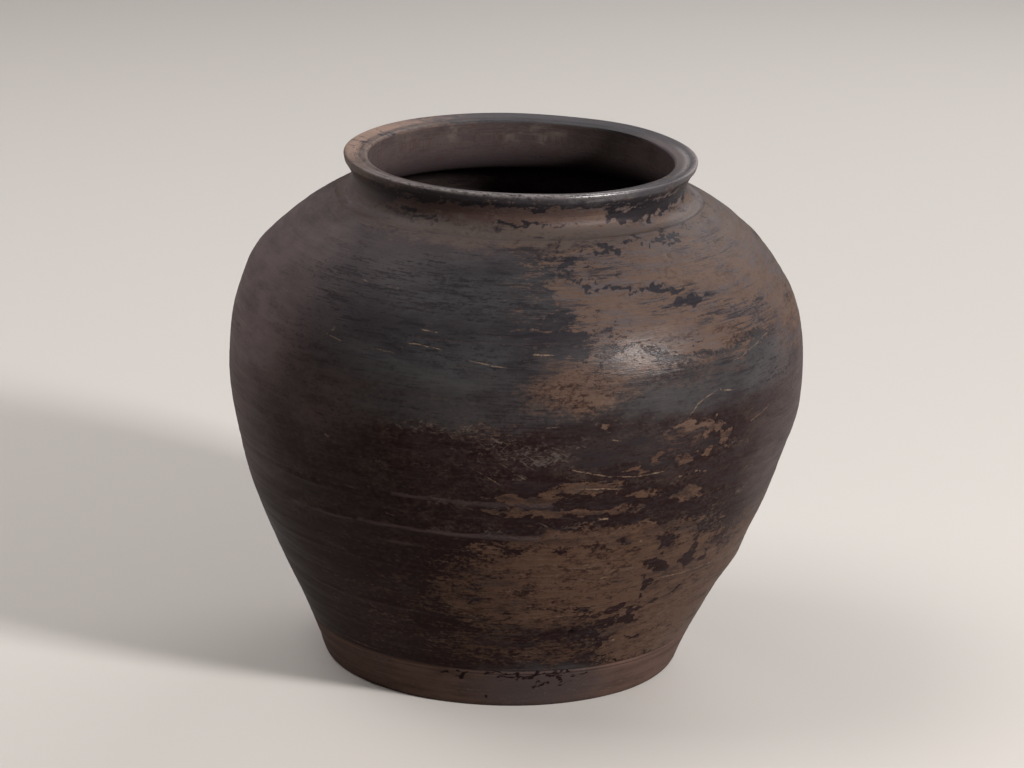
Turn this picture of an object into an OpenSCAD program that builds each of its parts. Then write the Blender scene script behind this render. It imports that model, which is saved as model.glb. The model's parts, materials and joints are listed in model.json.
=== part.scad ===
// Burnished black clay olla: a round-bellied coil-built pot with a narrow foot,
// a short coved neck and an out-turned lip. The wall is a stack of clay courses,
// and each course sits on the one beneath on a luted tongue-and-groove joint.

/* [Body outline] */
// Radius of the pot where it meets the table
base_r = 81; // [78:0.5:84]
// Radius of the wall at the scribed foot line
foot_r = 88.5; // [87:0.5:90]
// Radius of the wall at the lower ring line
lower_r = 115.3; // [113:0.1:117]
// Radius of the wall at the ridge under the belly
middle_r = 125.5; // [124:0.1:127]
// Widest radius of the belly
belly_r = 130; // [128:0.5:132]
// Radius of the wall at the shoulder groove
groove_r = 121.6; // [120:0.1:123]
// Radius at the step between shoulder and neck collar
collar_r = 83; // [82:0.5:85]

/* [Body heights] */
// Height of the scribed foot line
foot_z = 19; // [16:0.5:21]
// Height of the lower ring line
lower_z = 75; // [72:1:78]
// Height of the ridge under the belly
middle_z = 108; // [105:1:111]
// Height of the widest part of the belly
belly_z = 139; // [136:1:142]
// Height of the shoulder groove
groove_z = 179.5; // [177:0.5:182]
// Height of the step between shoulder and neck collar
collar_z = 214.5; // [213:0.5:216]

/* [Neck and lip] */
// Narrowest outer radius of the neck, where the rim's flare starts
neck_r = 75.2; // [74.5:0.1:76]
// Height of the joint between neck collar and rim
neck_z = 223; // [222:0.1:224]
// Outer radius of the lip
lip_r = 79.5; // [79:0.1:81]
// Radius of the round throat inside the mouth
throat_r = 68.9; // [67:0.1:69.5]
// Overall height, to the outer edge of the lip
pot_h = 233.5; // [233:0.1:235]
// Height of the lip's outer face
lip_face_h = 3.4; // [3:0.1:4]
// How far the lip's outer face leans in at its lower edge
lip_tuck = 0.6; // [0.3:0.1:1]
// How much lower the lip's inner edge is than its outer edge
lip_fall = 1.4; // [0.8:0.1:1.8]
// Rounding of the lip's edges
lip_round = 0.9; // [0.6:0.1:1.2]

/* [Wall and joints] */
// Thickness of the wall
wall = 8; // [7:0.5:8.5]
// Thickness of the floor
floor_t = 9; // [8:0.5:10]
// Height of the tongue on each joint face
tongue = 2.4; // [1.5:0.1:3]
// Depth of the seam line left round each joint
seam = 0.5; // [0.3:0.1:0.8]

/* [Hidden] */

$fn = 120;
black_clay = [0.17, 0.17, 0.19];
brown_clay = [0.42, 0.36, 0.31];
grey_clay = [0.36, 0.33, 0.31];

// Outer outline: height, radius, and how fast the radius grows with height there
STATIONS = [
    [0, base_r, 0.32],
    [foot_z, foot_r, 0.48],
    [lower_z, lower_r, 0.4],
    [middle_z, middle_r, 0.24],
    [belly_z, belly_r, 0],
    [groove_z, groove_r, -0.55],
    [collar_z, collar_r, -1.95],
];
step_z = 4;
edge_t = 1.2;
// Shares of the wall's thickness where the tongue starts, peaks and ends
tongue_in = 0.3;
tongue_mid = 0.5;
tongue_out = 0.7;
slab_r = base_r - 8.5;
slab_lean = 4;
cove_steps = 8;
round_steps = 4;
flare_steps = 6;
// How sharply the flare turns out towards the lip: 1 is straight
flare_bend = 1.5;
throat_z = collar_z + 5;

// Hermite curve through the stations: radius and slope at height z
function span(z, i = 0) = i >= len(STATIONS) - 2 || z <= STATIONS[i + 1][0] ? i : span(z, i + 1);
function hermite_r(a, b, h, t) =
    a[1] * (2 * t ^ 3 - 3 * t ^ 2 + 1) + b[1] * (3 * t ^ 2 - 2 * t ^ 3)
    + h * (a[2] * (t ^ 3 - 2 * t ^ 2 + t) + b[2] * (t ^ 3 - t ^ 2));
function hermite_slope(a, b, h, t) =
    (b[1] - a[1]) / h * 6 * (t - t ^ 2) + a[2] * (3 * t ^ 2 - 4 * t + 1) + b[2] * (3 * t ^ 2 - 2 * t);
function part_of(z) = let(i = span(z)) (z - STATIONS[i][0]) / (STATIONS[i + 1][0] - STATIONS[i][0]);
function outer_r(z) = let(i = span(z), a = STATIONS[i], b = STATIONS[i + 1])
    hermite_r(a, b, b[0] - a[0], part_of(z));
function slope(z) = let(i = span(z), a = STATIONS[i], b = STATIONS[i + 1])
    hermite_slope(a, b, b[0] - a[0], part_of(z));

// A point set into the wall from its outer face, and lifted along the wall
function in_wall(z, depth, lift = 0) = let(s = slope(z), n = sqrt(1 + s ^ 2))
    [outer_r(z) - (depth - lift * s) / n, z + (depth * s + lift) / n];

// Heights between two joints, evenly spaced, without the joints themselves
function between(z0, z1) = let(n = ceil((z1 - z0) / step_z)) [for (i = [1:n - 1]) z0 + (z1 - z0) * i / n];
function outer_face(z0, z1) = [for (z = between(z0, z1)) in_wall(z, 0)];
function inner_face(z0, z1) = [for (z = between(z0, z1)) in_wall(z, wall)];
function reverse(pts) = [for (i = [len(pts) - 1:-1:0]) pts[i]];

// One joint face, from the seam line on the outside to the inner wall
function joint_face(z) = [
    in_wall(z, seam),
    in_wall(z, wall * tongue_in),
    in_wall(z, wall * tongue_mid, tongue),
    in_wall(z, wall * tongue_out),
    in_wall(z, wall),
];
// The wall's own outer edge just under or just over a seam line
function edge_below(z) = [in_wall(z, 0, -edge_t)];
function edge_above(z) = [in_wall(z, 0, edge_t)];

module course(z0, z1) {
    rotate_extrude() polygon(concat(
        edge_above(z0), outer_face(z0, z1), edge_below(z1),
        joint_face(z1), reverse(inner_face(z0, z1)), reverse(joint_face(z0))));
}

// The slab's edge: a leaning face with a tongue round its middle
function slab_edge() = [
    [slab_r, 0],
    [slab_r + slab_lean * tongue_in, floor_t * tongue_in],
    [slab_r + slab_lean * tongue_mid + tongue, floor_t * tongue_mid],
    [slab_r + slab_lean * tongue_out, floor_t * tongue_out],
    [slab_r + slab_lean, floor_t],
];

module base_slab() {
    color(grey_clay) rotate_extrude() polygon(concat([[0, 0]], slab_edge(), [[0, floor_t]]));
}

module foot_wall() {
    inside = [for (p = inner_face(0, foot_z)) if (p[1] > floor_t + edge_t) p];
    color(grey_clay) rotate_extrude() polygon(concat(
        [[base_r - edge_t, 0], [base_r, edge_t]],
        outer_face(0, foot_z), edge_below(foot_z), joint_face(foot_z),
        reverse(inside), reverse(slab_edge())));
}

module lower_wall() {
    color(black_clay) course(foot_z, lower_z);
}

module middle_wall() {
    color(black_clay) course(lower_z, middle_z);
}

module belly_wall() {
    color(black_clay) course(middle_z, groove_z);
}

module shoulder_wall() {
    color(brown_clay) course(groove_z, collar_z);
}

// The neck's joint face, level, from the outside to the throat
function neck_joint() = let(t = neck_r - throat_r) [
    [neck_r, neck_z],
    [neck_r - t * tongue_in, neck_z],
    [neck_r - t * tongue_mid, neck_z + tongue],
    [neck_r - t * tongue_out, neck_z],
    [throat_r, neck_z],
];
// Hollow curve from the shoulder step up to the neck
function cove() = let(start = in_wall(collar_z, 0, edge_t))
    [for (i = [0:cove_steps - 1]) let(a = 90 * i / cove_steps)
        [neck_r + (start[0] - neck_r) * (1 - sin(a)), start[1] + (neck_z - start[1]) * (1 - cos(a))]];
// Round turn from the inside of the shoulder into the straight throat
function throat_turn() = let(foot = in_wall(collar_z, wall))
    [for (i = [0:cove_steps - 1]) let(a = 90 * i / cove_steps)
        [throat_r + (foot[0] - throat_r) * (1 - cos(a)), throat_z - (throat_z - foot[1]) * sin(a)]];

module neck_collar() {
    color(brown_clay) rotate_extrude() polygon(concat(
        cove(), neck_joint(), throat_turn(), reverse(joint_face(collar_z))));
}

// A rounded corner between two directions, centred on c
function corner(c, a0, a1) = [for (i = [0:round_steps]) let(a = a0 + (a1 - a0) * i / round_steps)
    c + lip_round * [cos(a), sin(a)]];

module rim() {
    fall_a = atan(lip_fall / (lip_r - throat_r));
    edge = [lip_r - lip_tuck, pot_h - lip_face_h];
    flare = [for (i = [1:flare_steps]) let(t = i / flare_steps)
        [neck_r + (edge[0] - neck_r) * t ^ flare_bend, neck_z + (edge[1] - neck_z) * t]];
    mouth_z = pot_h - lip_fall;
    color(brown_clay) rotate_extrude() polygon(concat(
        flare,
        corner([lip_r - lip_round, pot_h - lip_round], 0, 90 + fall_a),
        corner([throat_r + lip_round, mouth_z - lip_round], 90 + fall_a, 180),
        reverse(neck_joint())));
}

base_slab();
foot_wall();
lower_wall();
middle_wall();
belly_wall();
shoulder_wall();
neck_collar();
rim();
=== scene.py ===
"""Looks for the burnished black clay pot.

Every clay course of the CAD model is rebuilt as a dense closed mesh from one shared description
of the wall, so that neighbouring courses meet in the same joint. The wall's relief (lean, dents,
finger rings, scribed lines, pits) is geometry. Where the black slip has worn through to brown
clay is a field stored on the mesh, and the material breaks it up into ragged flakes.
Lengths are in millimetres until a mesh is written, and azimuth 0 faces -Y, growing towards +X.
"""
import json
import math

import bpy
import numpy as np
from mathutils import Matrix, Vector

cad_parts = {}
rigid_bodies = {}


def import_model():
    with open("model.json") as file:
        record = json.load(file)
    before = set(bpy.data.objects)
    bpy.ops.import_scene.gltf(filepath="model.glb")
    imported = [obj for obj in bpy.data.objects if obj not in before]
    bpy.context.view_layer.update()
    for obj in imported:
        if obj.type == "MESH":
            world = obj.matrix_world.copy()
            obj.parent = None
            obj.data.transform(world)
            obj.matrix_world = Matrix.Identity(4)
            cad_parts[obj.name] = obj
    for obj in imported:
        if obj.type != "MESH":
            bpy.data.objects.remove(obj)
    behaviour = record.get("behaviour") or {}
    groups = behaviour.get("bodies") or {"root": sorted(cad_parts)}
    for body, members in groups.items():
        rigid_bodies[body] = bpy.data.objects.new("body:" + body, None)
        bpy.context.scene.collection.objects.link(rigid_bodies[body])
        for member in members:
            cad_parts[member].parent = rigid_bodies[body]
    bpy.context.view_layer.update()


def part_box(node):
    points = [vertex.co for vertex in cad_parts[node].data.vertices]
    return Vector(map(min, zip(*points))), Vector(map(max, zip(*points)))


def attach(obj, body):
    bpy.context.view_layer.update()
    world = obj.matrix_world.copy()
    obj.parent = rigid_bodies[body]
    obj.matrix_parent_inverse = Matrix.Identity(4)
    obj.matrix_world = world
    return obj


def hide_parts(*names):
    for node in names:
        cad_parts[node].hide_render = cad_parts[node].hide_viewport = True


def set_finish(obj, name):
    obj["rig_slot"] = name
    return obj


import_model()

MM = 0.001

# ---------------------------------------------------------------- outline, as in the CAD model
WALL = 8.0
FLOOR = 9.0
TONGUE = 2.4
TONGUE_SHARES = (0.3, 0.5, 0.7)
FOOT_Z, LOWER_Z, MIDDLE_Z, GROOVE_Z, COLLAR_Z, NECK_Z = 19.0, 75.0, 108.0, 179.5, 214.5, 223.0
NECK_R, THROAT_R = 75.2, 68.9
LIP_R = 1000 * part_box("rim")[1].x
POT_H = 1000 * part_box("rim")[1].z
LIP_FACE, LIP_TUCK, LIP_FALL, LIP_ROUND = 3.4, 0.6, 1.4, 0.9
FLARE_BEND = 1.5
BASE_R = 81.0
SLAB_R, SLAB_LEAN = BASE_R - 8.5, 4.0
THROAT_Z = COLLAR_Z + 5
# Height, radius and slope of the outside of the wall
STATIONS = (
    (0.0, BASE_R, 0.32), (FOOT_Z, 88.5, 0.48), (LOWER_Z, 115.3, 0.4), (MIDDLE_Z, 125.5, 0.24),
    (139.0, 130.0, 0.0), (GROOVE_Z, 121.6, -0.55), (COLLAR_Z, 83.0, -1.95),
)

# ---------------------------------------------------------------- mesh resolution
COLUMNS = 640
# Steps between rows, outside and inside, and how far from a ring line its extra rows lie
ROW_STEP = 1.15
INNER_STEP = 4.0
LINE_ROWS = (0.22, 0.48, 0.8)
# Least gap between two rows, and between a joint and the next row
ROW_GAP, JOINT_GAP = 0.18, 0.15


def outline(z):
    """Radius and slope of the smooth outer wall at height z."""
    for (z0, r0, s0), (z1, r1, s1) in zip(STATIONS, STATIONS[1:]):
        if z <= z1:
            break
    h = z1 - z0
    t = (z - z0) / h
    radius = (r0 * (2 * t**3 - 3 * t**2 + 1) + r1 * (3 * t**2 - 2 * t**3)
              + h * (s0 * (t**3 - 2 * t**2 + t) + s1 * (t**3 - t**2)))
    slope = (r1 - r0) / h * 6 * (t - t**2) + s0 * (3 * t**2 - 4 * t + 1) + s1 * (3 * t**2 - 2 * t)
    return radius, slope


_heights = np.linspace(0, COLLAR_Z, 400)
_radii = np.array([outline(z)[0] for z in _heights])
_lengths = np.concatenate([[0], np.cumsum(np.hypot(np.diff(_heights), np.diff(_radii)))])
WALL_LENGTH = float(_lengths[-1])
COVE_LENGTH = 12.0
# Distance up the wall of the lip's rounded top edge
LIP_EDGE = WALL_LENGTH + COVE_LENGTH + 11.3


def along(z):
    """Distance from the table, measured up the wall."""
    return float(np.interp(z, _heights, _lengths))


# A row is (radius, height, normal r, normal z, share of the wall's depth, distance up the wall)
def wall_row(z, depth=0.0, lift=0.0):
    r, slope = outline(z)
    n = math.hypot(1, slope)
    return (r - (depth - lift * slope) / n, z + (depth * slope + lift) / n,
            1 / n, -slope / n, depth / WALL, along(z))


def joint_rows(z):
    """A luted joint face with its tongue, without its outer and inner edges."""
    a, b, c = TONGUE_SHARES
    return [wall_row(z, WALL * a), wall_row(z, WALL * b, TONGUE), wall_row(z, WALL * c)]


def profile_rows(points, depth, start, sign=1.0):
    """Rows along a drawn outline, with normals to its right."""
    p = np.array(points, float)
    step = np.gradient(p, axis=0)
    step /= np.linalg.norm(step, axis=1)[:, None]
    run = start + sign * np.concatenate([[0], np.cumsum(np.linalg.norm(np.diff(p, axis=0), axis=1))])
    return [(r, z, dz, -dr, depth, s) for (r, z), (dr, dz), s in zip(p, step, run)]


def arc(centre, radius, start, end, count):
    """Points on a circular arc in the outline, angles in degrees."""
    angles = np.radians(np.linspace(start, end, count))
    return [(centre[0] + radius * math.cos(a), centre[1] + radius * math.sin(a)) for a in angles]


# ---------------------------------------------------------------- relief of the wall
# Rings scribed or left by the coils: height, relief, half width, centre and half span in azimuth
RINGS = (
    (FOOT_Z, -0.42, 0.55, 0, 400),
    (17.0, -0.28, 0.45, -5, 75),
    (18.1, 0.18, 0.4, 10, 60),
    (50.5, 0.16, 0.9, -15, 45),
    (64.0, 0.2, 0.8, 48, 28),
    (LOWER_Z, -0.1, 0.7, 5, 400),
    (73.2, 0.14, 0.6, 5, 30),
    (93.5, 0.3, 1.3, -20, 60),
    (MIDDLE_Z, -0.16, 0.9, -5, 400),
    (106.0, 0.3, 1.2, -15, 60),
    (112.5, 0.2, 1.4, 10, 50),
    (GROOVE_Z, -0.06, 0.9, 5, 400),
)
# Dents and flats: azimuth, height, half width in degrees, half height, relief
DENTS = (
    (-83, 185, 22, 9, 1.3),
    (-80, 208, 18, 6, -0.5),
    (84, 187, 24, 11, -1.5),
    (82, 204, 20, 7, -0.7),
    (84, 121, 20, 11, 1.05),
    (84, 53, 20, 9, 1.8),
    (150, 150, 30, 30, -0.9),
    (-140, 90, 28, 26, -0.7),
)
# Pits, where a grain has burst out of the wall: azimuth, height, radius, depth
PITS = (
    (17.3, 41.0, 1.5, 1.2), (34.0, 20.8, 1.0, 0.8), (42.0, 206.5, 0.9, 0.5), (24.5, 203.0, 1.3, 0.5),
    (-8, 133, 0.9, 0.5), (28.5, 88.5, 0.8, 0.4), (22.0, 70.5, 0.9, 0.3), (-39.3, 177.0, 0.8, 0.3),
    (118, 150, 1.6, 1.0), (163, 62, 1.3, 0.8), (-125, 190, 1.4, 0.8), (-160, 120, 1.2, 0.7),
)


def turned(a, centre):
    """Azimuth from a centre in degrees, in degrees, the short way round."""
    return (np.degrees(a) - centre + 180) % 360 - 180


def waves(a, s, seed, count, turns, lengths):
    """A smooth random relief of about unit size that closes round the pot."""
    rng = np.random.default_rng(seed)
    total = 0.0
    for _ in range(count):
        k = rng.integers(-turns, turns + 1)
        length = math.exp(rng.uniform(math.log(lengths[0]), math.log(lengths[1])))
        total = total + np.cos(k * a + 2 * np.pi * s / length + rng.uniform(0, 2 * np.pi))
    return total / math.sqrt(count / 2)


def bump(d):
    return np.exp(-d * d)


def outer_relief(a, z, s):
    """Broad waves, hollows, turning lines that come and go and fine lines, then the tables above."""
    d = 0.30 * waves(a, s, 11, 12, 3, (90, 260))
    d = d + 0.10 * waves(a, s, 12, 22, 9, (26, 70))
    d = d + 0.045 * waves(a, s, 13, 26, 5, (6, 16)) * (0.6 + 0.4 * waves(a, s, 14, 6, 3, (60, 120)))
    d = d + 0.016 * waves(a, s, 15, 30, 12, (3.2, 6))
    for height, relief, width, centre, span in RINGS:
        line = bump((z - height) / width) * bump((turned(a, centre) / span) ** 2)
        d = d + relief * line * (0.75 + 0.25 * waves(a, 0 * s + height, 31, 8, 14, (40, 90)))
    for centre, height, wide, tall, relief in DENTS:
        d = d + relief * bump(np.hypot(turned(a, centre) / wide, (z - height) / tall))
    for centre, height, radius, depth in PITS:
        across = np.radians(turned(a, centre)) * outline(height)[0]
        d = d - depth * bump((np.hypot(across, (z - height)) / radius) ** 2)
    return d


def inner_relief(a, z, s):
    """Finger rings left inside by the coils and the smoothing hand."""
    deep = np.clip((COLLAR_Z - z) / 20, 0, 1)
    return deep * 0.35 * waves(a, s, 21, 8, 2, (14, 24)) + 0.2 * waves(a, s, 22, 14, 6, (40, 120))


# How far the pot leans to +X at its lip, and how much farther it bows out halfway up
LEAN_TOP, LEAN_BOW = 3.4, 1.1


def place(rows, a):
    """Points of the rows at azimuths a: a grid of rows by columns, in metres."""
    r, z, nr, nz, depth, s = (c[:, None] for c in np.array(rows, float).T)
    a = a[None, :]
    d = (1 - depth) * outer_relief(a, z, s) + depth * inner_relief(a, z, s)
    up = np.clip(z / POT_H, 0, 1)
    r = r * (1 + 0.0022 * np.cos(2 * a + 0.9)) + d * nr
    rise = np.clip((z - 205) / 20, 0, 1) * (0.35 * np.cos(a + 2.2) + 0.3 * np.cos(2 * a + 0.4))
    x = r * np.sin(a) + LEAN_TOP * up + 4 * LEAN_BOW * up * (1 - up)
    height = np.maximum(z + d * nz + rise, 0)
    return np.stack([x, -r * np.cos(a), height], -1) * MM


# ---------------------------------------------------------------- wear and painted light, as fields round the pot
# Areas worn to brown clay: azimuth, height, half width in degrees, half height
WORN = (
    (38, 197, 31, 26), (62, 200, 24, 26), (35, 181, 19, 9), (12.5, 163, 8.5, 12), (22, 169, 9, 6),
    (48, 179, 8, 9), (10.8, 197, 4.4, 6), (8, 216.3, 72, 4.4), (-4, 223, 40, 6), (-95, 233, 52, 7),
    (80, 193, 18, 34), (12.5, 157, 6.5, 6), (10, 50, 10, 6), (20, 73, 26, 21), (40, 60, 22, 27),
    (6, 86, 4, 6), (-3, 63, 11, 14), (66, 45, 24, 36), (44, 32, 22, 15), (22, 93, 19, 5),
    (15, 117, 6, 2.6), (3, 112, 8, 3), (25, 111.5, 5, 3), (13, 105.5, 16, 1.8), (36.5, 108.5, 3.5, 3.6),
    (35.5, 140.2, 4.6, 1.9), (42.5, 137.5, 2.6, 3), (45.6, 131.6, 1.6, 3.4), (41, 128, 1.5, 3.6),
    (35.2, 125.7, 2.2, 2.4), (29, 128, 1.8, 2.6), (24, 123.7, 2.6, 1.6), (17.2, 144.5, 1.5, 1.4),
)
# Black slip that has held inside the worn areas: start and end as azimuth and height, half width
FLAKES = (
    (9.5, 206.5, 13, 206.5, 1.7), (5.5, 203.2, 11, 203.2, 1.2), (11, 203.2, 20, 201, 0.8),
    (5, 201, 6, 194, 2.2), (14, 199.6, 22, 198.5, 1.1), (22, 198.5, 30, 197.8, 0.8),
    (31, 197, 40, 195.5, 0.8), (36, 198.5, 36.4, 196.5, 0.4), (41, 191.2, 44.8, 191.2, 1.4),
    (34, 190.4, 40, 190.8, 0.9), (36, 194, 41, 195.6, 1.0), (8, 188, 13, 190, 2.0),
    (5.5, 181.8, 13, 182, 2.2), (-2, 185, 6, 188, 3.0), (22, 211.3, 27, 211.2, 1.4),
    (16.5, 211.2, 21, 211, 0.4), (29.5, 212.7, 33, 212.8, 0.35), (32.5, 213.4, 37, 213.5, 0.5),
    (39, 210.8, 51, 212, 0.9), (52, 212.8, 66, 213.8, 0.4), (0, 212.8, 12, 212.6, 0.7),
    (32, 221.4, 46, 221.6, 4.2), (46, 222, 84, 224, 3.8), (-108, 232.2, -101, 232.2, 0.9),
    (-122, 232.2, -117, 232.2, 0.8), (28.5, 219.3, 36, 219, 0.5), (-62, 228.4, 90, 228.4, 1.1),
    (-44, 221, -37, 221.2, 1.2), (-36, 219, -28, 218.6, 1.4), (-6, 219.6, 7, 219.8, 1.3),
    (7, 219.8, 19, 220, 0.6), (18, 223.4, 26, 223.4, 0.3), (20, 176.4, 27, 176.6, 0.5),
    (27, 176.6, 32.3, 174.6, 0.4), (38.5, 175.6, 44, 176.2, 0.6), (7, 168.2, 8, 167.6, 0.5),
    (4, 177.4, 13, 176.6, 1.5), (33.5, 86.5, 36.6, 85.2, 2.0), (32.6, 75.4, 35.6, 72.6, 2.7),
    (36, 72, 38, 70.6, 1.6), (40.8, 71.6, 43.4, 72.4, 1.7), (44.8, 82, 43.8, 73, 2.2),
    (43.8, 73, 45.6, 67.8, 1.8), (49.2, 72, 50.8, 69.6, 1.2), (53.5, 80, 57.5, 68, 1.0),
    (32.8, 67.4, 33.4, 63, 1.0), (34, 61.6, 37.6, 62.6, 1.1), (33.7, 61.5, 33.7, 51, 0.7),
    (30, 47.6, 35.4, 50, 1.1), (35.4, 50, 47.6, 56.4, 0.6), (26, 52.4, 28.4, 51.6, 2.6),
    (16.6, 48, 24.5, 50.2, 1.0), (15, 46, 17.5, 47.8, 0.8), (22.2, 49.5, 24.4, 43.6, 1.0),
    (25.6, 44.4, 28.2, 44.4, 1.6), (31, 46.2, 33.6, 44, 1.8), (20, 44, 23.4, 43.6, 0.9),
    (35.4, 33.6, 38.2, 32.8, 1.6), (40.2, 31.8, 42, 31.6, 0.5), (49.8, 33.2, 51, 31.6, 0.5),
    (0, 52.6, 2.4, 51.8, 1.2), (-6, 46, 4, 44.4, 1.8), (-4, 41, 13, 41, 0.6), (7, 36.5, 9.5, 35.6, 1.1),
    (10, 33, 16, 30, 2.4), (17, 35.5, 21, 27, 2.8), (0, 30, 6, 24, 3.4), (22, 29, 28, 33, 1.2),
    (15.5, 113, 22, 110.6, 2.1), (0, 109.3, 9, 108.8, 0.45), (24, 89.4, 37, 90, 0.4),
    (1, 96, 12, 99, 1.1), (26, 98, 36, 98.6, 1.2), (20, 110, 30, 108.6, 0.5), (48, 58, 52, 61, 0.5),
    (-9, 62.5, -4, 62, 0.7), (-8, 67, -5, 65, 0.5), (-6, 74, -3, 73, 0.5), (-10, 60, -4, 58.6, 0.6),
    (2, 78, 4, 76, 0.5),
)
# Thinned slip, where specks of clay show through: azimuth, height, half width and height, strength
THIN = (
    (0, 75, 400, 70, 0.15), (36, 136, 9, 8, 0.8), (-8, 72, 12, 16, 0.8), (14, 96, 30, 4, 0.6),
    (34, 126, 22, 16, 0.5), (-33, 126, 10, 9, 0.3), (-20, 58, 16, 14, 0.75), (-6, 34, 22, 12, 0.85),
    (8, 47, 18, 7, 1.15), (14, 30, 14, 10, 0.95), (46, 100, 16, 14, 0.45), (-38, 42, 20, 26, 0.6),
    (2, 196, 8, 16, 0.7), (-16, 188, 20, 12, 0.4), (-8, 142, 14, 5, 0.7), (4, 134, 14, 9, 0.4),
    (48, 178, 10, 12, 0.7), (22, 148, 14, 6, 0.35), (0, 110, 18, 4, 0.45), (-60, 110, 14, 20, 0.2),
    (-58, 60, 16, 20, 0.2),
)
# Dark flecks on the foot band and along its line, as the flakes
FOOT_MARKS = (
    (-4, 18, 20, 17.4, 0.55), (0, 15, 4, 14.6, 0.9), (11, 12, 13.6, 10.6, 0.9), (18, 13.4, 20.2, 13, 0.6),
    (22, 15.2, 25, 15.6, 0.6), (-18.2, 16.6, -16.4, 16.4, 0.8), (-14.2, 15.4, -11.6, 16.6, 0.9),
    (-5, 4.6, -4, 4.4, 0.6), (5, 16.4, 12, 14.6, 0.6), (14, 16.6, 19, 15, 0.6),
)
# Zones of fine dark blue flecks: as the thinned slip
SPECKS = (
    (-12, 200, 22, 10, 0.55), (-36, 194, 16, 10, 0.6), (2, 190, 8, 16, 0.7), (-14, 182, 26, 8, 0.5),
    (-4, 172, 16, 6, 0.35), (24, 206, 8, 4, 0.5), (11, 206.5, 5, 3, 0.8), (48, 184, 9, 7, 0.65),
    (38, 192, 10, 5, 0.5), (58, 176, 10, 14, 0.45), (28, 163, 16, 4, 0.6), (10, 190, 6, 7, 0.5),
    (30, 130, 24, 14, 0.55), (60, 205, 16, 8, 0.3), (4, 212, 10, 2, 0.7), (44, 165, 10, 6, 0.5),
    (12, 178, 6, 3, 0.5), (12, 95, 18, 7, 0.6), (34, 96, 12, 6, 0.6), (-2, 66, 8, 16, 0.55),
    (8, 40, 16, 8, 0.55), (24, 34, 14, 10, 0.5), (-24, 63, 9, 4, 0.6), (60, 150, 20, 20, 0.35),
    (-78, 232, 30, 1.4, 0.8), (22, 172, 12, 8, 0.5), (40, 68, 14, 20, 0.5), (36, 92, 20, 8, 0.6),
    (34, 108, 22, 8, 0.6), (8, 112, 18, 8, 0.5),
)
# Clusters of crossing pale scratches: as above
RUBS = (
    (-14, 142.5, 11, 3.8, 1.0), (4, 141, 12, 3, 0.9), (-6, 137, 9, 5, 0.85), (4, 132, 8, 7, 1.0),
    (10, 136, 4, 4, 0.7), (-2, 123, 7, 3, 0.9), (-32, 127, 9, 7, 0.45), (-14, 110, 9, 1.6, 0.8),
    (0, 106, 12, 2, 0.7), (44, 128, 8, 12, 0.5), (-10, 92, 14, 7, 0.45), (8, 98, 12, 4, 0.6),
    (50, 108, 10, 10, 0.45), (-24, 55, 16, 10, 0.4), (-6, 44, 12, 8, 0.5), (2, 28, 12, 6, 0.55),
    (-45, 112, 9, 9, 0.3), (-20, 32, 18, 8, 0.3), (24, 142, 10, 4, 0.3),
)
# Painted sheen, pale lilac where grazing light glances off both sides and the lip's right; then blue-grey
# smoke in the slip, which also paints a bluish sheen where the shoulder and the lip's top face up: as
# above
HAZE_SHEEN = (
    (100, 233, 26, 5, 1.0), (-74, 178, 26, 44, 1.0), (-76, 120, 20, 34, 0.45), (-78, 190, 32, 38, 1.0),
    (-80, 135, 20, 42, 0.66), (-52, 168, 14, 28, 0.2), (-42, 145, 12, 18, 0.25), (78, 120, 20, 60, 0.32),
    (-52, 206, 26, 12, 0.35), (80, 180, 18, 30, 0.5), (-30, 212, 30, 6, 0.3),
)
BLUE_AND_SHEEN = (
    (-14, 198, 34, 17, 0.95), (-38, 190, 16, 12, 0.5), (-12, 172, 30, 16, 0.85), (18, 172, 14, 8, 0.6),
    (-10, 151, 26, 8, 0.55), (36, 154, 20, 8, 0.7), (54, 161, 18, 13, 0.8), (26, 134, 16, 10, 0.2),
    (12, 10, 20, 12, 0.9), (40, 195, 50, 25, 0.5), (70, 233, 60, 8, 1.0), (180, 233, 75, 8, 1.0),
)
# Washes of reddish and of pale brown round the neck: as above
RUST = ((-18, 223.5, 28, 4.5, 1.0), (10, 225, 16, 4, 0.8), (-170, 224, 60, 5, 0.7))
PALE = ((-25, 216.4, 34, 4, 1.0), (14, 216.2, 26, 3.2, 0.8), (170, 216, 60, 3, 0.5))
# Places where the slip fades out instead of flaking: as above
SOFT = (
    (4, 164, 6, 14, 1.0), (12, 153, 13, 5, 0.8), (36, 160, 20, 8, 0.9), (-3, 64, 13, 18, 0.8),
    (40, 196, 40, 22, 0.25), (-16, 213.8, 46, 4, 1.0), (0, 219, 60, 4, 0.6), (-115, 233, 70, 8, 0.8),
    (16, 92, 24, 5, 0.5), (60, 45, 20, 40, 0.4),
)
# Where the top of the lip is worn to pale clay, and whitish smudges inside the mouth: as above
LIP_PALE = ((-116, 233, 38, 4, 1.0), (-150, 232, 12, 2, 0.6))
SMUDGE = ((171, 227, 8, 4, 1.0), (-175, 226, 8, 2.4, 0.8), (-152, 228, 2, 4, 0.8), (-128, 230, 8, 2, 0.4))
# Where the slip under the lip is darkened with painted shade: as above
UNDER_LIP_SHADE_ZONES = ((50, 223, 36, 6.5, 1.0), (5, 223, 30, 5, 0.6))
# Painted highlight: where the lip's top edge shows a light line of reflected light, and the line's place
# and half width in mm
LIP_GLINT_SHIFT, LIP_GLINT_HALF = 0.8, 1.3
LIP_GLINT = ((-12, 233, 46, 4, 0.9), (88, 233, 20, 4, 0.8))
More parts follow.
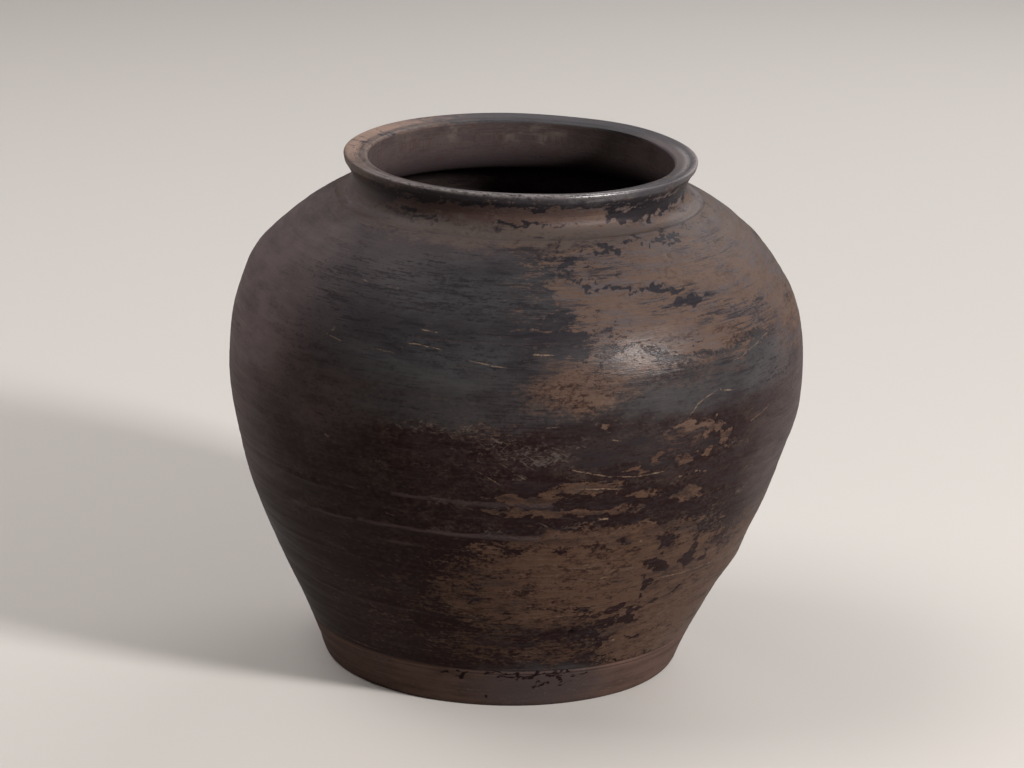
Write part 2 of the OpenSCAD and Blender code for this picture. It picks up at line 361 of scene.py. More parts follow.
# Pale lines where rings of the wall are rubbed, as the flakes, and the softness of their edges
RIDGE_SOFT = 1.2
RIDGES = (
    (-32, 94, 6, 93.4, 1.2), (-24, 109.8, 8, 109.4, 1.2), (-28, 86, -6, 85.4, 0.5),
    (-21, 179.4, 10, 180, 0.3), (-34, 100.5, -16, 100, 0.3), (-52, 92, -34, 93, 0.4),
    (-50, 108, -30, 109, 0.35), (30, 179.6, 60, 180.4, 0.2),
)
# Spots burnished to a shine: as the thinned slip
GLOSS = ((25, 168, 15, 12, 1.0), (140, 170, 14, 9, 1.0), (-110, 165, 16, 10, 0.8), (26, 232, 11, 3, 6.0))
# Single scratches: start and end as azimuth and height, half width, brightness
SCRATCHES = (
    (-60, 185, -51, 183, 0.22, 0.35), (-20, 182.6, -16, 182.2, 0.28, 0.8),
    (-22.2, 177, -14.6, 176, 0.28, 0.9), (-9.5, 172.6, -1.4, 170.2, 0.26, 0.85),
    (-42, 175, -36, 172.6, 0.24, 0.6), (-30, 172.6, -24, 172, 0.18, 0.4),
    (-39.6, 177.2, -39.2, 176.8, 0.6, 0.9), (-37.8, 196.6, -36, 196.3, 0.35, 0.7),
    (-30.6, 196.2, -27.6, 196, 0.6, 0.4), (3, 175.8, 7.6, 175.3, 0.3, 1.0), (47, 164, 62, 171, 0.3, 0.45),
    (35.6, 144.6, 37.6, 150, 0.35, 0.6), (37.6, 150, 43, 154.2, 0.3, 0.5), (44.4, 153, 47, 152, 0.3, 0.8),
    (10.7, 126.6, 19.4, 121.6, 0.28, 0.8), (19.4, 121.6, 25, 120.8, 0.28, 0.6),
    (25, 120.8, 31, 121.6, 0.28, 0.7), (-38.6, 131.2, -37.6, 130.4, 0.5, 0.7),
    (-25.6, 99.6, -23.4, 98.6, 0.3, 0.8), (17.6, 102, 20, 101.4, 0.6, 1.0),
    (28.2, 88.4, 28.8, 88.2, 0.6, 0.9), (19, 138.6, 21, 137.8, 0.3, 0.7),
    (13, 116.8, 22, 115.6, 0.35, 0.8), (37, 65, 57, 63.6, 0.3, 0.55), (21, 70.4, 23, 70.8, 0.5, 0.5),
    (-52, 22.4, -41, 21.2, 0.3, 0.5), (6, 145.4, 9, 145.8, 0.25, 0.5),
    (42.4, 143.4, 42.8, 142.8, 0.6, 0.8), (-8, 127, -2, 119, 0.22, 0.5), (-2, 129, 3, 121, 0.22, 0.5),
    (34.4, 118, 35.2, 117.6, 0.5, 0.6), (38.2, 118.8, 39, 118.4, 0.55, 0.6),
    (40.6, 117.8, 41.4, 117.4, 0.5, 0.6), (29.6, 33.6, 31.2, 33.2, 0.5, 0.7),
    (52, 135, 60, 139, 0.25, 0.35), (150, 160, 161, 157, 0.3, 0.7), (120, 120, 128, 123, 0.3, 0.6),
    (-130, 175, -121, 172, 0.3, 0.6), (-165, 140, -158, 137, 0.3, 0.6),
)


def far(a, z, centre, height, wide, tall):
    """How far a point lies from a patch's centre: 1 is its edge."""
    return np.hypot(turned(a, centre) / wide, (z - height) / tall)


def stroke(a, z, a0, z0, a1, z1):
    """Position along a line on the wall, -1 to 1 between its ends, and distance from it in mm."""
    r, slope = outline(min(0.5 * (z0 + z1), COLLAR_Z - 8))
    steep = math.hypot(1, slope)
    u, v = np.radians(turned(a, a0)) * r, (z - z0) * steep
    du, dv = math.radians(a1 - a0) * r, (z1 - z0) * steep
    length = math.hypot(du, dv)
    t = (u * du + v * dv) / length**2
    held = np.clip(t, 0, 1)
    return 2 * t - 1, (v * du - u * dv) / length, np.hypot(u - du * held, v - dv * held)


def back_patches(seed, count, size, azimuth=(88, 272), heights=(30, 208)):
    """Patches for the side away from the front, spread by a seeded draw."""
    rng = np.random.default_rng(seed)
    return tuple((rng.uniform(*azimuth), rng.uniform(*heights), rng.uniform(0.5, 1) * size[0],
                  rng.uniform(0.4, 1) * size[1]) for _ in range(count))


def back_zones(seed, count, size, strength):
    return tuple((*patch, strength) for patch in back_patches(seed, count, size))


def back_flakes(seed, count):
    """Short flakes, mostly level, for the side away from the front."""
    rng = np.random.default_rng(seed)
    draws = rng.uniform((88, 22, 1, -2.5, 0.4), (272, 212, 8, 2.5, 2.0), (count, 5))
    return tuple((a, z, a + wide, z + rise, half) for a, z, wide, rise, half in draws)


THIN += back_zones(11, 14, (20, 14), 0.7)
WORN += back_patches(5, 9, (24, 18)) + back_patches(6, 16, (9, 4)) + ((180, 216.3, 104, 3.6),)
FLAKES += back_flakes(7, 70)
SPECKS += back_zones(8, 16, (22, 12), 0.55)
RUBS += back_zones(9, 12, (14, 8), 0.6)
BLUE_AND_SHEEN += back_zones(10, 8, (34, 16), 0.7)


# Mean radius of the wall, which turns a shift in mm into an angle
MEAN_R = 120.0


def ragged(a, z, s):
    """The point moved about by a few millimetres, so that patches get uneven outlines."""
    shift = 1.5 * waves(a, s, 51, 30, 90, (7, 24)) + 0.7 * waves(a, s, 52, 36, 170, (3.5, 8))
    lift = 0.9 * waves(a, s, 53, 30, 60, (6, 20)) + 0.45 * waves(a, s, 54, 36, 150, (3, 7))
    return a + shift / MEAN_R, z + lift


def marks(a, z, strokes, soft=1.3):
    """How far inside the nearest mark a point lies, in units of its soft edge."""
    inside = -1.0
    for *line, half in strokes:
        inside = np.maximum(inside, (half - stroke(a, z, *line)[2]) / soft)
    return inside


# The worn field runs from minus this, where the slip is whole, to plus this, where it is gone
WORN_LIMIT = 0.8


def worn_field(a, z):
    """Positive where the slip has worn through, negative where it holds."""
    w = -WORN_LIMIT + 0 * (a + z)
    for patch in WORN:
        w = np.maximum(w, 0.9 * (1 - far(a, z, *patch)))
    return np.clip(np.minimum(w, -marks(a, z, FLAKES)), -WORN_LIMIT, WORN_LIMIT)


def zones(a, z, table):
    """Soft zones, each with its strength, where the strongest counts."""
    field = 0 * (a + z)
    for *patch, strength in table:
        field = np.maximum(field, strength * bump(0.85 * far(a, z, *patch) ** 2))
    return field


def pit_field(a, z):
    """How deep in a pit a point lies, from 0 to 1."""
    p = 0 * (a + z)
    for centre, height, radius, depth in PITS:
        across = np.radians(turned(a, centre)) * outline(min(height, COLLAR_Z))[0]
        p = np.maximum(p, bump((np.hypot(across, z - height) / radius) ** 2) * min(1, depth))
    return p


# Nothing farther than this from a scratch, in mm, belongs to it
SCRATCH_REACH = 4.0
# What holds away from any scratch: distance, places along and across it, half width, brightness
NO_SCRATCH = (SCRATCH_REACH, 2.0, 9.0, 0.2, 0.0)


def scratch_fields(a, z):
    """Place along and across the nearest scratch, its half width and its brightness, near one only."""
    shape = (a + z).shape
    nearest, along_it, across, half, bright = (np.full(shape, value) for value in NO_SCRATCH)
    for *line, width, light in SCRATCHES:
        t, offset, distance = stroke(a, z, *line)
        closer = distance < nearest
        nearest = np.where(closer, distance, nearest)
        along_it, across = np.where(closer, t, along_it), np.where(closer, offset, across)
        half, bright = np.where(closer, width, half), np.where(closer, light, bright)
    return along_it, across, half, bright


# ---------------------------------------------------------------- meshes
def add_attribute(mesh, name, values):
    """One number stored at each vertex."""
    attribute = mesh.attributes.new(name, "FLOAT", "POINT")
    attribute.data.foreach_set("value", np.ascontiguousarray(values, np.float32).ravel())


def store_fields(mesh, rows, a, count):
    """The fields that the material reads, one value to a vertex."""
    table = np.array(rows, float)
    z, depth, s = (table[:, i][:, None] for i in (1, 4, 5))
    a = a[None, :]
    aw, zw = ragged(a, z, s)
    along_it, across, half, bright = scratch_fields(a, z)
    glint_line = bump((s - LIP_EDGE - LIP_GLINT_SHIFT) / LIP_GLINT_HALF)
    for name, values in (
        ("worn", worn_field(aw, zw)),
        ("thin", zones(aw, zw, THIN)),
        ("soft", zones(a, z, SOFT)),
        ("speck", zones(aw, zw, SPECKS)),
        ("rub", zones(aw, zw, RUBS)),
        ("haze_sheen", zones(a, z, HAZE_SHEEN)),
        ("blue", zones(aw, zw, BLUE_AND_SHEEN)),
        ("rust", zones(aw, zw, RUST)),
        ("pale", zones(aw, zw, PALE)),
        ("neck", zones(a, z, UNDER_LIP_SHADE_ZONES)),
        ("lip", zones(aw, zw, LIP_PALE)),
        ("lip_glint", glint_line * zones(a, z, LIP_GLINT)),
        ("smudge", zones(aw, zw, SMUDGE)),
        ("gloss", zones(aw, zw, GLOSS)),
        ("foot_mark", marks(aw, zw, FOOT_MARKS)),
        ("ridge", marks(a, z, RIDGES, RIDGE_SOFT)),
        ("pit", pit_field(a, z)),
        ("scratch_along", along_it),
        ("scratch_across", across),
        ("scratch_half", half),
        ("scratch_light", bright),
        ("along", s + 0 * a),
        ("inside", depth + 0 * a),
        ("up", z + 0 * a),
    ):
        padded = np.zeros(count)
        padded[:values.size] = values.ravel()
        if values.size < count:
            padded[values.size:] = values[-1, 0]
        add_attribute(mesh, name, padded)


def finish_mesh(name, points, faces, rows, a, creases, node, slot):
    """One piece of the pot: smooth faces, sharp along the creased rows, standing in for its node."""
    mesh = bpy.data.meshes.new(name)
    mesh.from_pydata([], [], [])
    mesh.vertices.add(len(points))
    mesh.vertices.foreach_set("co", points.astype(np.float32).ravel())
    corners = np.concatenate([f.ravel() for f in faces])
    sizes = np.concatenate([np.full(len(f), f.shape[1]) for f in faces])
    mesh.loops.add(len(corners))
    mesh.loops.foreach_set("vertex_index", corners.astype(np.int32))
    mesh.polygons.add(len(sizes))
    starts = np.concatenate([[0], np.cumsum(sizes)[:-1]])
    mesh.polygons.foreach_set("loop_start", starts.astype(np.int32))
    mesh.polygons.foreach_set("use_smooth", np.ones(len(sizes), bool))
    mesh.update(calc_edges=True)
    ends = np.zeros(len(mesh.edges) * 2, np.int32)
    mesh.edges.foreach_get("vertices", ends)
    row_of = ends.reshape(-1, 2) // COLUMNS
    sharp = (row_of[:, 0] == row_of[:, 1]) & np.isin(row_of[:, 0], creases)
    mesh.attributes.new("sharp_edge", "BOOLEAN", "EDGE").data.foreach_set("value", sharp)
    store_fields(mesh, rows, a, len(points))
    mesh.validate()
    piece = bpy.data.objects.new(name, mesh)
    bpy.context.scene.collection.objects.link(piece)
    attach(piece, "root")
    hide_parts(node)
    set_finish(piece, slot)
    return piece


def quads(rows, closed):
    """Faces between neighbouring rows of a grid that closes round the pot."""
    i = np.arange(rows if closed else rows - 1)[:, None]
    j = np.arange(COLUMNS)[None, :]
    i2, j2 = (i + 1) % rows, (j + 1) % COLUMNS
    row, next_row = i * COLUMNS, i2 * COLUMNS
    return np.stack([row + j, row + j2, next_row + j2, next_row + j], -1).reshape(-1, 4)


AZIMUTHS = np.linspace(0, 2 * np.pi, COLUMNS, endpoint=False)


def ring_piece(name, slot, rows, creases):
    """A closed ring of clay from one closed loop of rows."""
    points = place(rows, AZIMUTHS).reshape(-1, 3)
    return finish_mesh(name + "_clay", points, [quads(len(rows), True)], rows, AZIMUTHS,
                       creases, name, slot)


def heights(z0, z1):
    """Heights from joint to joint, closer together at each ring line."""
    count = max(2, round((along(z1) - along(z0)) / ROW_STEP))
    even = np.interp(np.linspace(along(z0), along(z1), count + 1), _lengths, _heights)
    near = [r[0] + side * d for r in RINGS for d in (0,) + LINE_ROWS for side in (-1, 1)]
    merged = [z0]
    for z in sorted(set(list(even[1:-1]) + [z for z in near if z0 + JOINT_GAP < z < z1 - JOINT_GAP])):
        if z - merged[-1] > ROW_GAP:
            merged.append(z)
    return merged + [z1]


def inner_heights(z0, z1):
    return list(np.linspace(z0, z1, max(2, round((z1 - z0) / INNER_STEP)) + 1))


def wall_loop(z0, z1):
    """Rows of one course: up the outside, over the joint, down the inside, back under."""
    outer = [wall_row(z) for z in heights(z0, z1)]
    top = joint_rows(z1)
    inner = [wall_row(z, WALL) for z in reversed(inner_heights(z0, z1))]
    under = joint_rows(z0)[::-1]
    n, m = len(outer), len(outer) + len(top)
    last = m + len(inner)
    creases = [0, n - 1, n, n + 1, n + 2, m, last - 1, last, last + 1, last + 2]
    return outer + top + inner + under, creases


def slab_edge():
    """Rows of the leaning joint between slab and foot, from the table up."""
    a, b, c = TONGUE_SHARES
    points = ((0, 0), (a, 0), (b, TONGUE), (c, 0), (1, 0))
    return [(SLAB_R + SLAB_LEAN * t + out, FLOOR * t, 0, 0, 1, FLOOR * t) for t, out in points]


def make_foot():
    """The foot course, with a rounded edge at the table and a leaning face for the slab inside."""
    rounding = [(BASE_R - 1.6, 0), (BASE_R - 0.9, 0.12), (BASE_R - 0.35, 0.45), (BASE_R + 0.1, 1.0)]
    base = [(r, z, 1, 0, 0, s) for r, z, _, _, _, s in profile_rows(rounding, 0, 0)]
    outer = base + [wall_row(z) for z in heights(0, FOOT_Z) if z > 1.4]
    top = joint_rows(FOOT_Z)
    inner = [wall_row(z, WALL) for z in reversed(inner_heights(0, FOOT_Z))]
    inner = [row for row in inner if row[1] > FLOOR + 1.2]
    edge = slab_edge()[::-1]
    n, m = len(outer), len(outer) + len(top)
    last = m + len(inner)
    creases = [0, n - 1, n, n + 1, n + 2, m] + list(range(last, last + len(edge)))
    ring_piece("foot_wall", "bare_clay", outer + top + inner + edge, creases)


def make_slab():
    """The floor disc: rings under it, up its edge and back to the middle, closed by two fans."""
    shares = np.linspace(0.04, 1, 22)
    under = [(SLAB_R * t, 0, 0, 0, 1, 0) for t in shares]
    edge = slab_edge()[1:-1]
    over = [((SLAB_R + SLAB_LEAN) * t, FLOOR, 0, 0, 1, FLOOR) for t in shares[::-1]]
    rows = under + edge + over
    grid = place(rows, AZIMUTHS)
    r = np.hypot(grid[..., 0], grid[..., 1]) / MM
    a = AZIMUTHS[None, :]
    hollow = np.clip(1 - (r / SLAB_R) ** 2, 0, 1)
    spiral = 0.16 * np.cos(r / 2.6 - 1.0 * a) + 0.1 * waves(a, r, 41, 10, 5, (12, 40))
    n, m = len(under), len(under) + len(edge)
    fade = np.clip((SLAB_R - 1.5 - r) / 6, 0, 1)
    grid[:n, :, 2] += (0.9 * hollow + (0.3 + 0.4 * spiral) * fade)[:n] * MM
    grid[m:, :, 2] += ((0.8 * spiral - 0.5 * hollow) * fade)[m:] * MM
    points = np.concatenate([grid.reshape(-1, 3), grid[0].mean(0)[None], grid[-1].mean(0)[None]])
    low, high = len(points) - 2, len(points) - 1
    j = np.arange(COLUMNS)
    j2 = (j + 1) % COLUMNS
    last = (len(rows) - 1) * COLUMNS
    fans = [np.stack([np.full(COLUMNS, low), j2, j], -1),
            np.stack([np.full(COLUMNS, high), last + j, last + j2], -1)]
    creases = list(range(n - 1, m + 1))
    finish_mesh("base_slab_clay", points, [quads(len(rows), False)] + fans, rows, AZIMUTHS,
                creases, "base_slab", "bare_clay")


def neck_joint():
    """Rows of the level joint under the lip, from the outside to the throat."""
    t = NECK_R - THROAT_R
    a, b, c = TONGUE_SHARES
    return [(NECK_R - t * share, NECK_Z + up, 1, 0, share, WALL_LENGTH + COVE_LENGTH)
            for share, up in ((0, 0), (a, 0), (b, TONGUE), (c, 0), (1, 0))]


def make_neck():
    """The collar: a cove from the shoulder step to the neck, and a round turn into the throat."""
    start = wall_row(COLLAR_Z)
    foot = wall_row(COLLAR_Z, WALL)
    cove = [(NECK_R + (start[0] - NECK_R) * (1 - math.sin(t)),
             start[1] + (NECK_Z - start[1]) * (1 - math.cos(t)))
            for t in np.radians(np.linspace(0, 90, 19))]
    cove_rows = profile_rows(cove, 0, start[5])
    cove_rows[0] = start
    turn = [(THROAT_R + (foot[0] - THROAT_R) * (1 - math.cos(t)),
             THROAT_Z - (THROAT_Z - foot[1]) * math.sin(t))
            for t in np.radians(np.linspace(0, 90, 12))]
    joint = neck_joint()
    down = [(THROAT_R, (NECK_Z + THROAT_Z) / 2)] + turn[:-1]
    inner = [(r, z, 1, 0, 1, joint[-1][5] - (NECK_Z - z)) for r, z in down]
    rows = cove_rows[:-1] + joint + inner + [foot] + joint_rows(COLLAR_Z)[::-1]
    n = len(cove_rows) - 1
    m = n + len(joint)
    last = m + len(inner)
    creases = [0] + list(range(n, m)) + list(range(last, len(rows)))
    ring_piece("neck_collar", "worn_clay", rows, creases)


def make_rim():
    """The lip: a flare from the neck, a narrow outer face, a top that falls inwards, the throat."""
    fall = math.degrees(math.atan(LIP_FALL / (LIP_R - THROAT_R)))
    edge = (LIP_R - LIP_TUCK, POT_H - LIP_FACE)
    flare = [(NECK_R + (edge[0] - NECK_R) * t**FLARE_BEND, NECK_Z + (edge[1] - NECK_Z) * t)
             for t in np.linspace(0, 1, 9)]
    face = [(LIP_R - LIP_TUCK * (1 - t), edge[1] + (LIP_FACE - LIP_ROUND) * t)
            for t in (0.12, 0.35, 0.65, 0.9)]
    outer = arc((LIP_R - LIP_ROUND, POT_H - LIP_ROUND), LIP_ROUND, 0, 90 + fall, 8)
    soft = LIP_ROUND + 0.4
    inner = arc((THROAT_R + soft, POT_H - LIP_FALL - soft), soft, 90 + fall, 180, 8)
    flat = [tuple(np.array(outer[-1]) * (1 - t) + np.array(inner[0]) * t)
            for t in np.linspace(0, 1, 9)[1:-1]]
    throat = [(THROAT_R, z) for z in np.linspace(inner[-1][1], NECK_Z, 5)[1:-1]]
    joint = neck_joint()
    rows = profile_rows(flare + face + outer + flat + inner + throat, 0, joint[0][5])
    rows[0] = joint[0]
    far_side = rows[-1][5] + joint[0][5]
    first_inner = len(flare) + len(face) + len(outer) + len(flat) // 2
    span = len(rows) - first_inner
    rows = [(r, z, abs(nr) if i > first_inner + len(flat) else nr, nz, max(0, (i - first_inner) / span),
             min(s, far_side - s)) for i, (r, z, nr, nz, _, s) in enumerate(rows)]
    creases = [0] + list(range(len(rows), len(rows) + len(joint) - 1))
    ring_piece("rim", "worn_clay", rows + joint[:0:-1], creases)


# ---------------------------------------------------------------- materials
class Graph:
    """Short calls for building a node tree."""

    def __init__(self, name):
        self.material = bpy.data.materials.new(name)
        self.material.use_nodes = True
        self.tree = self.material.node_tree
        self.tree.nodes.clear()

    def node(self, kind, inputs=(), **settings):
        n = self.tree.nodes.new(kind)
        for key, value in settings.items():
            setattr(n, key, value)
        for key, value in dict(inputs).items():
            if isinstance(value, bpy.types.NodeSocket):
                self.tree.links.new(value, n.inputs[key])
            elif value is not None:
                n.inputs[key].default_value = value
        return n

    def attribute(self, name):
        return self.node("ShaderNodeAttribute", attribute_name=name).outputs["Fac"]

    def math(self, operation, a, b=0.0, c=0.0, clamp=False):
        n = self.node("ShaderNodeMath", {0: a, 1: b, 2: c}, operation=operation, use_clamp=clamp)
        return n.outputs[0]

    def add(self, total, *more):
        for value in more:
            total = self.math("ADD", total, value)
        return total

    def times(self, total, *more):
        for value in more:
            total = self.math("MULTIPLY", total, value)
        return total

    def spread(self, noise, amount):
        """A noise turned into a signed change of that size."""
        return self.math("MULTIPLY_ADD", noise, 2 * amount, -amount)

    def step(self, value, low, high, to_low=0.0, to_high=1.0):
        return self.node("ShaderNodeMapRange", {"Value": value, "From Min": low, "From Max": high,
                         "To Min": to_low, "To Max": to_high}, interpolation_type="SMOOTHSTEP").outputs[0]

    def mix(self, factor, a, b, blend="MIX"):
        n = self.node("ShaderNodeMix", data_type="RGBA", blend_type=blend)
        for socket, value in ((n.inputs[0], factor), (n.inputs[6], a), (n.inputs[7], b)):
            if isinstance(value, bpy.types.NodeSocket):
                self.tree.links.new(value, socket)
            else:
                socket.default_value = (*value, 1) if isinstance(value, tuple) else value
        return n.outputs[2]

    def noise(self, vector, scale, detail=4.0, roughness=0.55, distortion=0.0):
        """Noise with a size in millimetres: scale is (round the pot, up the wall)."""
        shrink = (1 / scale[0], 1 / scale[0], 1 / scale[1])
        stretched = self.node("ShaderNodeVectorMath", {0: vector, 1: shrink},
                              operation="MULTIPLY").outputs[0]
        return self.node("ShaderNodeTexNoise", {"Vector": stretched, "Scale": 1.0, "Detail": detail,
                         "Roughness": roughness, "Distortion": distortion}).outputs["Fac"]

    def slanted(self, vector, angle, scale):
        """Noise stretched along strokes that climb at an angle, seen from the front."""
        turn = self.node("ShaderNodeVectorRotate", {"Vector": vector, "Angle": math.radians(angle)},
                         rotation_type="Y_AXIS").outputs[0]
        return self.noise(turn, scale, 3, 0.5, 0.8)


# Colours, linear
BLACK_SLIP = (0.0098, 0.0046, 0.0048)
DUN_SLIP = (0.0265, 0.0165, 0.0140)
LILAC_SLIP = (0.0285, 0.0182, 0.0188)
SMOKE_SLIP = (0.048, 0.037, 0.035)
RIDGE_SLIP = (0.056, 0.040, 0.039)
BLUE_SLIP_AND_SHEEN = (0.0480, 0.0475, 0.0495)
FLAKE_BLUE = (0.0200, 0.0185, 0.0220)
DRIFT_BLUE = (0.0190, 0.0170, 0.0200)
UNDER_LIP_SHADE = (0.0100, 0.0088, 0.0110)
LIP_BLUE_REFLECTION = (0.058, 0.054, 0.059)
TABLE_REFLECTION_RED = (0.0130, 0.0035, 0.0034)
HAZE_SHEEN_SLIP = (0.118, 0.091, 0.090)
FLECK_BLUE = (0.0115, 0.0105, 0.0130)
SHOULDER_CLAY = (0.087, 0.0590, 0.0465)
GREY_CLAY = (0.064, 0.0550, 0.0580)
ORANGE_CLAY = (0.079, 0.0490, 0.0370)
LOWER_CLAY = (0.066, 0.0375, 0.0255)
UMBER_CLAY = (0.040, 0.0215, 0.0150)
WASH = (0.046, 0.0300, 0.0220)
RUST_CLAY = (0.058, 0.036, 0.031)
PALE_CLAY = (0.070, 0.055, 0.049)
LIP_CLAY = (0.225, 0.150, 0.118)
PALE_SCUFF = (0.118, 0.096, 0.083)
TAN_SCRATCH = (0.185, 0.128, 0.088)
PAINTED_GLINT = (0.230, 0.205, 0.200)
BARE_CLAY = (0.080, 0.0480, 0.0385)
FOOT_GREY = (0.046, 0.0345, 0.0335)
INSIDE_CLAY = (0.060, 0.0440, 0.0415)
DEEP_CLAY = (0.120, 0.0910, 0.0870)
SOOT_AND_SHADE = (0.036, 0.0265, 0.0280)
PIT_SHADE = (0.006, 0.004, 0.004)
# Tint of the reflected light, from the smoke in the slip
GLOSS_TINT = (1.0, 0.80, 0.77, 1)
COAT_ROUGHNESS = 0.28


def clay(name, bare=0.0, rough=0.0, specular=0.045):
    """Burnished black slip over brown clay; bare is the share of unburnished clay."""
    g = Graph(name)
    place_mm = g.node("ShaderNodeVectorMath", {0: g.node("ShaderNodeTexCoord").outputs["Object"],
                      1: (1000, 1000, 0)}, operation="MULTIPLY").outputs[0]
    up_wall = g.node("ShaderNodeCombineXYZ", {"Z": g.attribute("along")}).outputs[0]
    spot = g.node("ShaderNodeVectorMath", {0: place_mm, 1: up_wall}, operation="ADD").outputs[0]
    worn, up, haze_sheen, rub = (g.attribute(n) for n in ("worn", "up", "haze_sheen", "rub"))
    inside = g.step(g.attribute("inside"), 0.55, 0.75)

    broad = g.noise(spot, (60, 40), 3)
    cloud = g.noise(spot, (20, 11), 6, 0.62)
    blotch = g.noise(spot, (6, 3.4), 6, 0.65, 0.3)
    chips = g.noise(spot, (6, 1.5), 8, 0.7)
    drift = g.noise(spot, (26, 4.5), 6, 0.66, 0.5)
    tatter = g.noise(spot, (15, 5.5), 10, 0.72, 0.4)
    flecks = g.noise(spot, (2.2, 1.4), 7, 0.75)
    streaks = g.noise(spot, (75, 2.6), 7, 0.62)
    strokes = g.noise(spot, (14, 0.9), 6, 0.68)
    grain = g.noise(spot, (0.9, 0.6), 3, 0.6)

    # Where the slip is gone: a ragged edge, or a gradual one where the soft field is strong
    edge = g.add(worn, g.spread(tatter, 1.0), g.spread(flecks, 1.0), g.spread(streaks, 0.3))
    soft = g.attribute("soft")
    whole = g.math("MULTIPLY_ADD", soft, -0.55, -0.06)
    bare_at = g.math("MULTIPLY_ADD", soft, 0.45, 0.08)
    gone = g.step(edge, whole, bare_at)

    mottle = g.add(blotch, g.spread(cloud, 0.6), g.spread(flecks, 0.7))
    slip = g.mix(g.step(mottle, 0.30, 0.86), BLACK_SLIP, DUN_SLIP)
    slip = g.mix(g.step(g.add(drift, g.spread(cloud, -0.6)), 0.36, 0.80, 0, 0.7), slip, LILAC_SLIP)
    # Painted reflection: the slip turns redder towards the bottom, the warm tint of a brown table
    # mirrored in the lower wall
    slip = g.mix(g.step(up, 60, 100, 0.5, 0), slip, TABLE_REFLECTION_RED)
    slip = g.mix(g.step(worn, -WORN_LIMIT, -0.3, 0, 0.6), slip, BLACK_SLIP)
    washed = g.step(g.add(tatter, g.spread(flecks, 0.5)), 0.48, 0.68, 0, 0.7)
    washed = g.times(washed, g.attribute("thin"), g.step(up, 100, 130, 1, 0))
    slip = g.mix(washed, slip, WASH)
    # Blue-grey slip, partly a painted bluish sheen where the shoulder faces up towards the light
    smoky = g.step(g.add(cloud, g.spread(strokes, 0.4)), 0.2, 0.6, 0.55, 1)
    slip = g.mix(g.times(g.attribute("blue"), smoky), slip, BLUE_SLIP_AND_SHEEN)
    islands = g.step(g.attribute("blue"), 0.5, 0.95, 0.8, 0.35)
    slip = g.mix(g.times(g.step(up, 165, 185), islands), slip, FLAKE_BLUE)
    drifted = g.step(g.add(drift, g.spread(flecks, 0.35)), 0.46, 0.70, 0, 0.7)
    slip = g.mix(g.times(drifted, g.step(up, 150, 178)), slip, DRIFT_BLUE)
    # Painted sheen: pale lilac where grazing light glances off both sides of the pot and the right of the
    # lip's top
    sheen_spread = g.step(g.add(drift, g.spread(cloud, 0.4)), 0.25, 0.70, 0.68, 1)
    slip = g.mix(g.times(haze_sheen, sheen_spread), slip, HAZE_SHEEN_SLIP)
    # Painted shade: the slip under the lip is darkened
    slip = g.mix(g.attribute("neck"), slip, UNDER_LIP_SHADE)
    # Painted reflection: where the blue field reaches the lip's top, it turns pale blue-grey as it
    # mirrors the light behind
    on_top = g.step(g.attribute("along"), LIP_EDGE - 1.5, LIP_EDGE + 0.5, 0.25, 1)
    on_top = g.times(on_top, g.step(up, 229, 231))
    slip = g.mix(g.times(on_top, g.attribute("blue")), slip, LIP_BLUE_REFLECTION)
    brushed = g.add(strokes, g.spread(flecks, 0.7), g.spread(cloud, 0.4))
    clear = g.step(haze_sheen, 0, 1, 1, 0.35)
    light = g.times(g.step(brushed, 0.58, 0.88, 0, 0.6), g.step(g.attribute("neck"), 0, 1, 1, 0.3))
    slip = g.mix(g.times(light, clear), slip, SMOKE_SLIP)
    dark = g.times(g.step(brushed, 0.26, 0.46, 0.6, 0), g.step(g.attribute("blue"), 0, 1, 1, 0.5))
    darkest = g.mix(g.step(up, 135, 165), BLACK_SLIP, FLECK_BLUE)
    slip = g.mix(g.times(dark, clear), slip, darkest)

    high = g.step(g.add(up, g.spread(tatter, 20)), 164, 184)
    body = g.mix(g.step(g.add(up, g.spread(broad, 30)), 118, 142), LOWER_CLAY, ORANGE_CLAY)
    tan = g.step(g.add(cloud, g.spread(blotch, 0.5)), 0.40, 0.62, 1, 0.45)
    body = g.mix(g.times(high, tan), body, SHOULDER_CLAY)
    grey = g.step(g.add(cloud, g.spread(strokes, 0.7)), 0.44, 0.66, 0, 0.75)
    body = g.mix(g.times(high, grey), body, GREY_CLAY)
    body = g.mix(g.times(high, g.step(drift, 0.5, 0.62, 0, 0.6)), body, GREY_CLAY)
    low = g.step(high, 0, 1, 1, 0.4)
    umber = g.step(g.add(blotch, g.spread(strokes, 0.5)), 0.32, 0.50, 0.65, 0)
    body = g.mix(g.times(low, umber), body, UMBER_CLAY)
    torn = g.step(tatter, 0.25, 0.55, 0.6, 1)
    body = g.mix(g.times(g.attribute("rust"), torn), body, RUST_CLAY)
    body = g.mix(g.times(g.attribute("pale"), torn), body, PALE_CLAY)
    body = g.mix(g.step(brushed, 0.60, 0.86, 0, 0.35), body, PALE_SCUFF)
    black = g.step(g.add(flecks, g.spread(tatter, 0.5)), 0.35, 0.49, 0.7, 0)
    body = g.mix(g.times(low, black), body, BLACK_SLIP)
    cloudy = g.step(cloud, 0.3, 0.6, 0.75, 1)
    body = g.mix(g.times(g.attribute("lip"), on_top, cloudy), body, LIP_CLAY)
    chipped = g.add(chips, g.spread(flecks, 0.35), g.times(g.attribute("thin"), 0.35))
    slip = g.mix(g.step(chipped, 0.74, 0.88, 0, 0.65), slip, body)
    colour = g.mix(gone, slip, body)
    broken = g.add(g.attribute("ridge"), g.spread(strokes, 0.9), g.spread(drift, 2.2))
    ridge = g.times(g.step(broken, -0.3, 0.9), 0.7)
    colour = g.mix(ridge, colour, RIDGE_SLIP)

